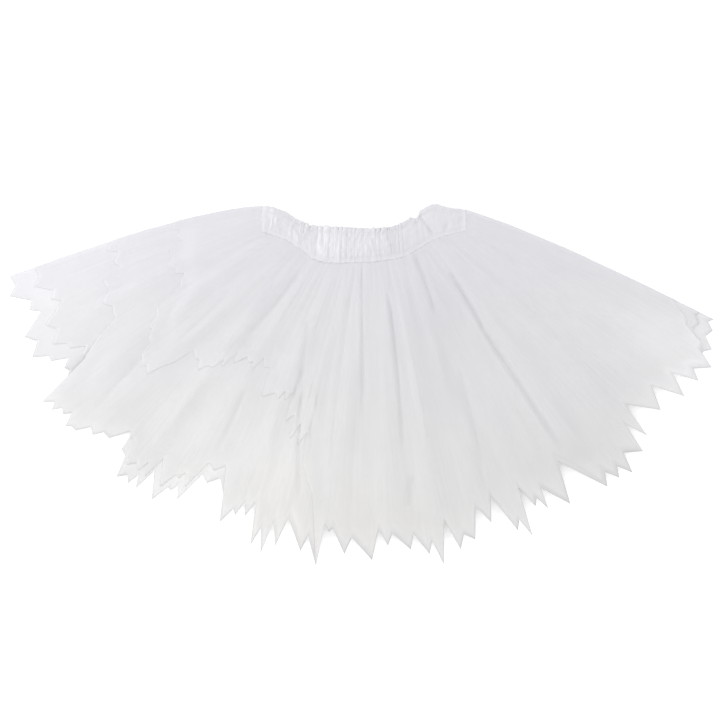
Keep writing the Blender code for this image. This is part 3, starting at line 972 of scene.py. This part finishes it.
# How much shade is painted on the satin over the width of the front (light, where negative), and
# small steps of its top edge in millimetres. Places are in millimetres across from the fan's
# centre.
SATIN_SHADE_AT = [-103, -98, -62, -52, -41, -32, -18, 10, 30, 60, 74, 97, 102]
SATIN_SHADE_BY = [0.90, 0.45, 0.10, 0.25, -0.45, -0.45, 0.05, 0.00, 0.40, 0.15, 0.15, 0.15, -0.60]
STEPS_AT = [-66, -60, -56, -53.5, 42, 46.7, 50, 54, 55.8, 60, 65]
STEPS_BY = [0, 1.2, 1.4, 0, 0, 2.2, -1.8, -3.2, 1.8, 0.8, 0]

# One row for each larger fold of the satin: its two ends, as distances in millimetres across
# and down from the fan's centre, its width and height, and the side of its steep flank.
SATIN_FOLDS = [
    # (across, down) first, last, width, height, steep
    ((47.0, 64.0), (55.0, 80.0), 7.5, 1.5, 1),
    ((55.5, 55.0), (69.5, 75.0), 2.0, -1.6, 1),
    ((64.0, 54.0), (79.0, 68.0), 5.5, 1.1, -1),
    ((90.0, 55.0), (97.0, 57.5), 2.2, 1.8, 0),
    ((-41.5, 86.0), (-39.5, 100.0), 3.6, 2.3, 0),
    ((7.0, 82.0), (10.5, 94.0), 1.3, 1.4, 0),
    ((-97.0, 57.0), (-99.5, 69.0), 3.0, 1.0, 0),
    ((-88.0, 60.0), (-80.0, 55.0), 2.4, 0.8, 0),
    ((-73.5, 69.0), (-69.0, 60.0), 1.6, 1.3, 1),
    ((-86.0, 66.0), (-74.0, 73.0), 2.2, -0.8, 0),
    ((-62.0, 80.0), (-56.0, 66.0), 1.8, 1.0, 1),
    ((-16.5, 74.0), (-12.0, 80.0), 1.6, -1.3, 0),
    ((-26.0, 88.0), (-24.0, 100.0), 2.0, 1.0, 0),
    ((22.0, 76.0), (27.0, 92.0), 2.6, 1.0, 1),
    ((84.0, 64.0), (80.0, 73.0), 2.2, -0.9, 0),
]


def band_edges():
    """Functions of x: the band's lower and top edge in plan, read from its solid."""
    low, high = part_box("waistband")
    places = np.array([vertex.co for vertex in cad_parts["waistband"].data.vertices])
    middles = np.linspace(low.x, high.x, BAND_STATIONS)
    reach = (middles[1] - middles[0]) * STATION_REACH
    found = [places[np.abs(places[:, 0] - middle) <= reach][:, 1] for middle in middles]
    lowest = smoothed(np.array([[near.min() for near in found]]), 0, 0.8)[0]
    highest = smoothed(np.array([[near.max() for near in found]]), 0, 0.8)[0]
    return lambda x: np.interp(x, middles, lowest), lambda x: np.interp(x, middles, highest)


def ring_stations():
    """Arrays of the place across and the turn, 0 on the front and 180 degrees on the back."""
    low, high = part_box("waistband")
    left, right = low.x + SIDE_FOLD, high.x - SIDE_FOLD
    turns = np.linspace(0, 180, BAND_TURN_COLUMNS + 2)[1:-1]
    across = [np.linspace(left, right, BAND_FRONT_COLUMNS), np.full(len(turns), right)]
    across += [np.linspace(right, left, BAND_BACK_COLUMNS), np.full(len(turns) + 1, left)]
    turn = [np.zeros(BAND_FRONT_COLUMNS), turns, np.full(BAND_BACK_COLUMNS, 180.0)]
    turn += [turns[::-1], [0.0]]
    return np.concatenate(across), np.radians(np.concatenate(turn))


def satin_gathers(place, up, seed, count):
    """Height, 0 to 1, of gathers side by side, with round crests and sharp valleys.

    place and up are arrays of rows and columns, and up is the same along a row. The valleys lean
    and bend a little on their way up, and the crests swell and sink.
    """
    draw = random.Random(seed)
    steps = [draw.uniform(0.55, 1.5) for _ in range(count)]
    ends = np.concatenate([[0.0], np.cumsum(steps)]) / sum(steps)
    lean = np.array([draw.uniform(-0.3, 0.3) for _ in ends]) / count
    bend = np.array([draw.uniform(-0.25, 0.25) for _ in ends]) / count
    crest = np.array([draw.uniform(0.45, 1.0) for _ in range(count)])
    swell = np.array([draw.uniform(0.0, 0.35) for _ in range(count)])
    phase = np.array([draw.uniform(0, 2 * math.pi) for _ in range(count)])
    field = np.zeros_like(place)
    for row in range(place.shape[0]):
        high = up[row, 0]
        slant = 0.055 * (0.5 - ends) * (high - 0.5)
        valleys = np.sort(ends + lean * (high - 0.5) + bend * math.sin(math.pi * high) + slant)
        number = np.clip(np.searchsorted(valleys, place[row]) - 1, 0, count - 1)
        span = valleys[number + 1] - valleys[number]
        t = np.clip((place[row] - valleys[number]) / span, 0.0, 1.0)
        top = crest * (1 - swell + swell * np.sin(4.5 * high + phase))
        field[row] = top[number] * (4 * t * (1 - t)) ** 0.75
    return field


def satin_folds(x, y):
    """Height of the larger folds of the satin at plan places."""
    height = np.zeros_like(x)
    for first, last, width, rise, steep in SATIN_FOLDS:
        start = FAN_CENTRE + Vector((first[0], -first[1])) * MM
        run = FAN_CENTRE + Vector((last[0], -last[1])) * MM - start
        along = ((x - start.x) * run.x + (y - start.y) * run.y) / run.length_squared
        off = ((x - start.x) * -run.y + (y - start.y) * run.x) / (run.length * width * MM)
        off = np.where(off * steep > 0, off * STEEPER, off)
        ends = ease((along + 0.2) / 0.4) * ease((1.2 - along) / 0.4)
        height += rise * MM * ends * np.exp(-(off**2))
    return height


def seam_heights(x, y_low):
    """Height at which the band's lower edge meets the uppermost tulle, at places across."""
    tree = surface_tree(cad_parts["outer_front_panel"])
    low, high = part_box("waistband")
    heights = []
    for across, lower in zip(np.clip(x, low.x + SEAM_IN, high.x - SEAM_IN), y_low):
        found = heights_at(tree, across, lower - SEAM_BELOW)
        heights.append(found[1] if found else np.nan)
    heights = np.array(heights)
    known = ~np.isnan(heights)
    heights = np.interp(np.arange(len(x)), np.flatnonzero(known), heights[known])
    return smoothed(heights[None, :], 0, 4)[0] - SEAM_SINKS


def crushed_field(x, y):
    """Sharp little ridges that cross at random, 0 to 1, as on satin that was pressed together."""
    noise.seed_set(5)  # noise_vector depends on it
    values = np.zeros(x.shape)
    for index in np.ndindex(x.shape):
        place = Vector((x[index] / CRUSH_SIZE[0], y[index] / CRUSH_SIZE[1], 4.2))
        place += 0.6 * noise.noise_vector(place * 0.6)
        values[index] = (1 - min(1.0, 2.2 * abs(noise.noise(place)))) ** 1.5
    return values


def satin_relief(settings, share, up, front, x, y):
    """(gathered, gathers, held, relief) of the satin, over arrays of rows and columns.

    gathered is how strongly it is gathered at a place, gathers is their height, held is how far
    they can rise between the rows of stitching, and relief is the height of everything together.
    """
    gathered = np.interp(share, GATHERED_AT, GATHERED_BY) * front + BACK_GATHERED * (1 - front)
    gathers = satin_gathers(share, up, FRONT_SEED, settings.gather_count) * front
    gathers += satin_gathers(share, up, BACK_SEED, settings.gather_count + 4) * (1 - front)
    fine = satin_gathers(share, up, FINE_SEED, 3 * settings.gather_count)
    # The stitching holds the gathers down, and they open out into the frill above it.
    held = np.ones_like(up)
    for stitching in (UPPER_STITCHING, LOWER_STITCHING):
        held *= 1 - STITCHING_HOLDS * np.exp(-(((up - stitching) / STITCHING_REACH) ** 2))
    held *= ease(up / LOWER_REACH) * 0.87 + 0.13
    relief = gathered * (GATHERS_SHARE * gathers + FINE_SHARE * fine)
    relief += (CRUSH_SHARES[0] + CRUSH_SHARES[1] * gathered) * crushed_field(x, y)
    return gathered, gathers, held, relief * held


def ways_in(ups, depths, gap):
    """How far each place of the section lies on its way from the outer face to the inner."""
    ways = np.zeros_like(gap)
    for row, depth in enumerate(depths):
        header = np.minimum(HEADER_GAP / gap[row], MOST_HEADER)
        if depth == 1:
            ways[row] = header * min(1.0, (row - len(OUTER_UPS) + 0.5) / 1.5)
        if depth == 2:
            ways[row] = header + (1 - header) * ease((HEADER_FOOT - ups[row]) / (1 - HEADER_FOOT))
    return ways


def waved_edges(x, y, up, frill, gathered, gathers):
    """y with the waves that the gathers make of both edges, and the small steps of the top."""
    near_low = ease((LOWER_REACH - up) / LOWER_REACH)
    y = y - LOWER_WAVES * gathered * (gathers - 0.5) * near_low
    y = y - FRILL_WAVES * frill * (1 - gathers) * (0.25 + 0.75 * gathered) + FRILL_STANDS * frill
    steps = np.interp((x - FAN_CENTRE.x) / MM, STEPS_AT, STEPS_BY) * MM
    return y + steps * ease((up - STEPS_FROM) / 0.5)


def face_heights(x, up, y_low):
    """(base, slit) heights: of the outer face of the front without its relief, and of the slit.

    The band gets flatter towards its ends, and its lower edge lies on the tulle.
    """
    low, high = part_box("waistband")
    in_from_end = np.minimum(x - low.x, high.x - x)
    middle = np.interp(up, FRONT_UPS, FRONT_HEIGHTS) * MM
    end = np.interp(up, END_UPS, END_HEIGHTS) * MM
    base = end + (middle - end) * (0.12 + 0.88 * ease(in_from_end / FULL_HEIGHT_IN))
    slit = end - END_DROP + (SLIT_HEIGHT - end + END_DROP) * ease(in_from_end / FULL_SLIT_IN)
    seam = seam_heights(x[0], y_low)[None, :]
    base = seam + (base - seam) * ease(up / SEAM_RISE + 0.02) - EDGE_SINKS * ease(1 - 20 * up)
    return base, slit


def casing_cloth(x, z, points):
    """Cloth coordinates: along the middle row of the outer face, and over the whole section."""
    steps = np.hypot(np.diff(x[0]), np.diff(z[len(OUTER_UPS) // 2]))
    run = np.concatenate([[0], np.cumsum(steps)]) * CLOTH_GATHERED
    fall = np.linalg.norm(np.diff(points[:, x.shape[1] // 4], axis=0), axis=1)
    fall = np.concatenate([[0], np.cumsum(fall)])[:, None]
    return np.dstack([np.broadcast_to(run, x.shape), np.broadcast_to(fall, x.shape)])


def casing_grid(settings):
    """(points, cloth coordinates, painted shade and light) of the satin casing, each of rows and
    columns.
    """
    lower, top = band_edges()
    low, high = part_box("waistband")
    axis, turn = ring_stations()
    facing, outward = np.cos(turn), np.sin(turn)
    side = np.where(axis > 0, 1.0, -1.0)
    ups = OUTER_UPS + HEADER_UPS + INNER_UPS
    depths = [0] * len(OUTER_UPS) + [1] * len(HEADER_UPS) + [2] * len(INNER_UPS)
    up = np.repeat(np.array(ups)[:, None], len(axis), axis=1)
    x = np.repeat((axis + side * SIDE_FOLD * outward)[None, :], len(ups), axis=0)
    front = np.repeat(np.maximum(facing, 0)[None, :], len(ups), axis=0)
    back = np.repeat(np.maximum(-facing, 0)[None, :], len(ups), axis=0)
    share = (x - low.x) / (high.x - low.x)
    y_low, y_top = lower(x[0]), top(x[0])
    y = y_low + up * (y_top - y_low)
    gathered, gathers, held, relief = satin_relief(settings, share, up, front, x, y)
    frill = ease((up - UPPER_STITCHING) / (1 - UPPER_STITCHING))
    y = waved_edges(x, y, up, frill, gathered, gathers)

    base, slit = face_heights(x, up, y_low)
    raised = base + settings.gather_relief * relief + satin_folds(x, y) * front
    raised += FRILL_SWELL * frill * gathered * (gathers - 0.45)
    # The back lies on its crests.
    flat = LEAST_HEIGHT + settings.gather_relief * 0.95 * (1 - relief) * held
    z = np.where(facing >= 0, slit + (raised - slit) * front, slit - (slit - flat) * back)
    outer = np.dstack([x, y, z])
    x_inner = np.broadcast_to(axis + side * INNER_FOLD * outward, up.shape)
    z_inner = slit + 0.5 * SLIT * facing + INNER_WAVES * facing * (1 - gathers)
    inner = np.dstack([x_inner, y, z_inner])
    ways = ways_in(ups, depths, np.linalg.norm(inner - outer, axis=2))
    points = outer + (inner - outer) * ways[..., None]

    # Painted shade and light over the width of the front.
    satin_shade = np.interp((x - FAN_CENTRE.x) / MM, SATIN_SHADE_AT, SATIN_SHADE_BY) * ease((up + 0.1) / 0.4)
    # Painted light along the rolled lower edge.
    satin_shade = (satin_shade - 0.5 * ease(1 - up / 0.07)) * (facing > 0)
    return points, casing_cloth(x, z, points), satin_shade


def add_stitches(shape, run, spacing):
    """Adds a short raised stitch at equal steps along a run of points."""
    gone, wanted = 0.0, 0.0
    for here, there in zip(run, run[1:]):
        step = (there - here).length
        if step == 0:
            continue
        way = (there - here).normalized()
        turn = way.to_track_quat("X", "Z").to_matrix().to_4x4()
        while wanted <= gone + step:
            place = Matrix.Translation(here.lerp(there, (wanted - gone) / step))
            matrix = place @ turn @ Matrix.Diagonal(STITCH)
            bmesh.ops.create_uvsphere(shape, u_segments=6, v_segments=4, radius=1, matrix=matrix)
            wanted += spacing
        gone += step


class TUTU_OT_waistband(bpy.types.Operator):
    """Make the gathered satin casing of the waistband"""

    bl_idname = "tutu.waistband"
    bl_label = "Waistband"

    def execute(self, context):
        settings = context.scene.tutu_satin
        points, cloth, satin_shade = casing_grid(settings)
        mesh = grid_mesh("waistband_satin", points, cloth, {CLOSENESS_AND_PAINTED_SHADE: satin_shade}, closed=True)
        # A face in the middle of the front looks up.
        row_length = points.shape[1] - 1
        middle = mesh.polygons[BAND_FRONT_COLUMNS // 2 + len(OUTER_UPS) // 3 * row_length]
        if middle.normal.z < 0:
            mesh.flip_normals()
        casing = link_object("waistband_satin", mesh, polyester_satin(settings))
        add_wall(casing, settings.thickness)
        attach(casing, "root")
        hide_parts("waistband")
        return {"FINISHED"}


class TUTU_OT_waist_stitching(bpy.types.Operator):
    """Make the two rows of stitching that hold the waistband's gathers"""

    bl_idname = "tutu.waist_stitching"
    bl_label = "Waist stitching"

    def execute(self, context):
        settings = context.scene.tutu_satin
        points = casing_grid(settings)[0]
        outward = Vector((0, 0, settings.thickness / 2 + STITCH_STANDS))
        first_back = BAND_FRONT_COLUMNS + BAND_TURN_COLUMNS
        shape = bmesh.new()
        for height in (LOWER_STITCHING, UPPER_STITCHING):
            row = min(range(len(OUTER_UPS)), key=lambda n: abs(OUTER_UPS[n] - height))
            front = points[row, :BAND_FRONT_COLUMNS]
            back = points[row, first_back : first_back + BAND_BACK_COLUMNS]
            for face, away in ((front, outward), (back, -outward)):
                run = [Vector(place) + away for place in face]
                add_stitches(shape, run, settings.stitch_length)
        mesh = finished_mesh("waist_stitching", shape)
        stitches = link_object("waist_stitching", mesh, polyester_thread())
        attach(stitches, "root")
        return {"FINISHED"}


# ---------------------------------------------------------------------------------------------
# Stage


FLOOR_HALF = 4.0  # metres: half the floor's width
FLOOR_DROP = 0.3 * MM  # how far the floor lies below the garment
LENS_LEVEL = 10 * MM  # the height from which the camera's own is measured
CAMERA_OVER = (-1.6 * MM, 25.5 * MM)
KEY_PLACE, KEY_SIZE = (-0.8, 0.25, 0.5), 0.5  # metres
FILL_PLACE, FILL_SIZE = (0.72, 0.05, 0.32), 1.1


class TUTU_OT_stage(bpy.types.Operator):
    """Make the floor, the soft lights, the surround and the camera"""

    bl_idname = "tutu.stage"
    bl_label = "Stage"

    def execute(self, context):
        scene = context.scene
        settings = scene.tutu_stage
        shape = bmesh.new()
        bmesh.ops.create_grid(shape, x_segments=1, y_segments=1, size=FLOOR_HALF)
        bmesh.ops.translate(shape, verts=shape.verts, vec=(0, 0, -FLOOR_DROP))
        floor = link_object("floor", finished_mesh("floor", shape), matt_board(settings))

        world = bpy.data.worlds.new("surround")
        world.use_nodes = True
        background = world.node_tree.nodes["Background"]
        background.inputs["Color"].default_value = (1, 1, 1, 1)
        background.inputs["Strength"].default_value = settings.sky_strength
        scene.world = world

        for name, energy, size, place in (
            ("key", settings.key_energy, KEY_SIZE, KEY_PLACE),
            ("fill", settings.fill_energy, FILL_SIZE, FILL_PLACE),
        ):
            light_data = bpy.data.lights.new(name, "AREA")
            light_data.size = size
            light_data.energy = energy
            light = bpy.data.objects.new(name, light_data)
            light.location = place
            light.rotation_euler = (-light.location).to_track_quat("-Z", "Y").to_euler()
            scene.collection.objects.link(light)

        camera_data = bpy.data.cameras.new("camera")
        camera_data.sensor_width = 36.0
        camera_data.lens = camera_data.sensor_width * settings.camera_height / settings.view_width
        camera_data.clip_end = 20
        camera = bpy.data.objects.new("camera", camera_data)
        camera.location = (*CAMERA_OVER, settings.camera_height + LENS_LEVEL)
        scene.collection.objects.link(camera)
        scene.camera = camera
        scene.view_settings.view_transform = "Standard"
        scene.cycles.transparent_max_bounces = 48
        return {"FINISHED"}


class TUTU_PT_sidebar(bpy.types.Panel):
    """Lists the pieces of the tutu"""

    bl_label = "Ballet tutu"
    bl_idname = "TUTU_PT_sidebar"
    bl_space_type = "VIEW_3D"
    bl_region_type = "UI"
    bl_category = "Tutu"

    def draw(self, context):
        for operator in OPERATORS:
            self.layout.operator(operator.bl_idname)


SETTINGS = {"tutu_tulle": TulleSettings, "tutu_satin": SatinSettings, "tutu_stage": StageSettings}
OPERATORS = [
    TUTU_OT_tulle_panels,
    TUTU_OT_waistband,
    TUTU_OT_waist_stitching,
    TUTU_OT_stage,
]


def register():
    for cls in (*SETTINGS.values(), *OPERATORS, TUTU_PT_sidebar):
        bpy.utils.register_class(cls)
    for name, cls in SETTINGS.items():
        setattr(bpy.types.Scene, name, bpy.props.PointerProperty(type=cls))


def unregister():
    for name in SETTINGS:
        delattr(bpy.types.Scene, name)
    for cls in (TUTU_PT_sidebar, *reversed(OPERATORS), *SETTINGS.values()):
        bpy.utils.unregister_class(cls)


def main():
    register()
    bpy.ops.tutu.tulle_panels()
    bpy.ops.tutu.waistband()
    bpy.ops.tutu.waist_stitching()
    bpy.ops.tutu.stage()


if __name__ == "__main__":
    main()
